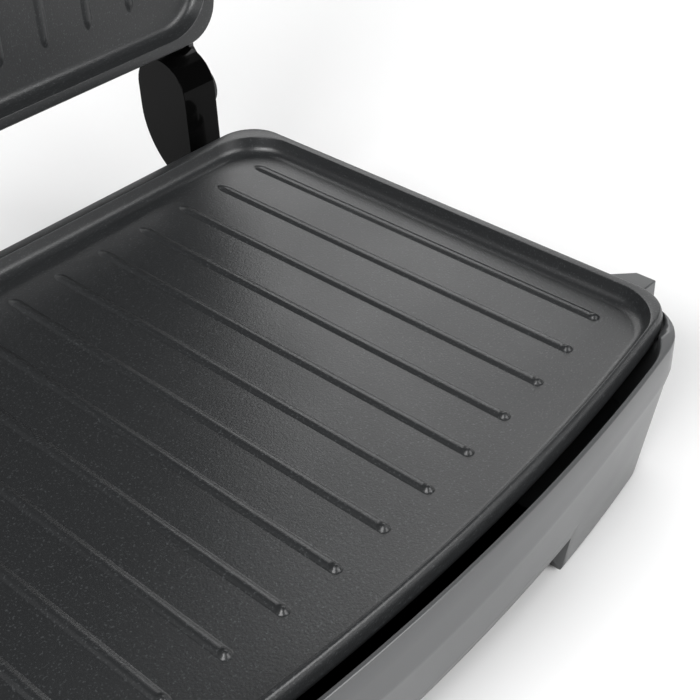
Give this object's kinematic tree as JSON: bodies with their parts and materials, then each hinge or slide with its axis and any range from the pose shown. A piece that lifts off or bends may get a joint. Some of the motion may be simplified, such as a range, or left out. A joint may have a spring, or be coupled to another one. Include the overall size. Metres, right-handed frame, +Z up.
{
  "type": "panini press",
  "caption": "Panini press with a ribbed grill plate in a bow-fronted base, a matching plate in a floating lid, twin hinge towers, a bar handle and plate release buttons.",
  "frame": {"origin": "on the table, in the middle of the press's width, 120 mm behind the foremost point of the bowed front", "axes": "+X to the right as seen from the front, +Y to the back, +Z up"},
  "size_m": [0.3255, 0.2808, 0.3647],
  "materials": {
    "housing_plastic": "satin moulded dark grey",
    "cover_plastic": "matt moulded black",
    "foot_rubber": "matt",
    "zinc_steel": "zinc plated",
    "nonstick_aluminium": "non-stick coated, satin, finely speckled",
    "aluminised_steel": "aluminised sheet",
    "element_sheath": "heat-browned",
    "thermostat_body": "phenolic",
    "terminal_plastic": "moulded",
    "gloss_black_plastic": "gloss black",
    "bearing_plastic": "acetal",
    "pin_steel": "ground",
    "brushed_panel": "brushed stainless",
    "arm_steel": "black painted",
    "grip_plastic": "soft satin black",
    "red_lens": "clear tinted",
    "green_lens": "clear tinted"
  },
  "bodies": {
    "base": {"base_housing": "housing_plastic", "bottom_cover": "cover_plastic", "rubber_feet": "foot_rubber", "cover_screws": "zinc_steel", "lower_plate": "nonstick_aluminium", "lower_reflector": "aluminised_steel", "lower_element": "element_sheath", "lower_element_clips": "aluminised_steel", "lower_thermostat": "thermostat_body", "thermal_fuse": "zinc_steel", "terminal_block": "terminal_plastic", "cord_gland": "foot_rubber", "hinge_tower_left": "gloss_black_plastic", "hinge_tower_right": "gloss_black_plastic", "tower_screws": "zinc_steel", "lower_release_spring": "zinc_steel"},
    "hinge_carriage": {"hinge_sliders": "bearing_plastic", "hinge_pins": "pin_steel"},
    "lid": {"lid_housing": "housing_plastic", "lid_top_panel": "brushed_panel", "lid_inner_frame": "cover_plastic", "frame_screws": "zinc_steel", "upper_plate": "nonstick_aluminium", "upper_reflector": "aluminised_steel", "upper_element": "element_sheath", "upper_element_clips": "aluminised_steel", "upper_thermostat": "thermostat_body", "lid_arm_left": "arm_steel", "lid_arm_right": "arm_steel", "arm_screws": "zinc_steel", "upper_release_spring": "zinc_steel", "handle_bracket_left": "housing_plastic", "handle_bracket_right": "housing_plastic", "handle_bar": "zinc_steel", "handle_grip": "grip_plastic", "power_lamp": "red_lens", "ready_lamp": "green_lens"},
    "lower_button": {"lower_release_button": "housing_plastic"},
    "upper_button": {"upper_release_button": "housing_plastic"}
  },
  "joints": [
    {"name": "lid_float", "type": "slide", "parent": "base", "child": "hinge_carriage", "axis": [0, 0, 1], "range_m": [0, 0.01]},
    {"name": "lid_hinge", "type": "hinge", "parent": "hinge_carriage", "child": "lid", "pos_m": [0, 0.1277, 0.073], "axis": [1, 0, 0], "range_deg": [0, 90]},
    {"name": "lower_release", "type": "slide", "parent": "base", "child": "lower_button", "axis": [-1, 0, 0], "range_m": [0, 0.0035], "stiffness_N_per_m": 500, "springref_m": -0.003, "deforming": ["lower_release_spring"]},
    {"name": "upper_release", "type": "slide", "parent": "lid", "child": "upper_button", "axis": [-1, 0, 0], "range_m": [0, 0.0035], "stiffness_N_per_m": 500, "springref_m": -0.003, "deforming": ["upper_release_spring"]}
  ]
}
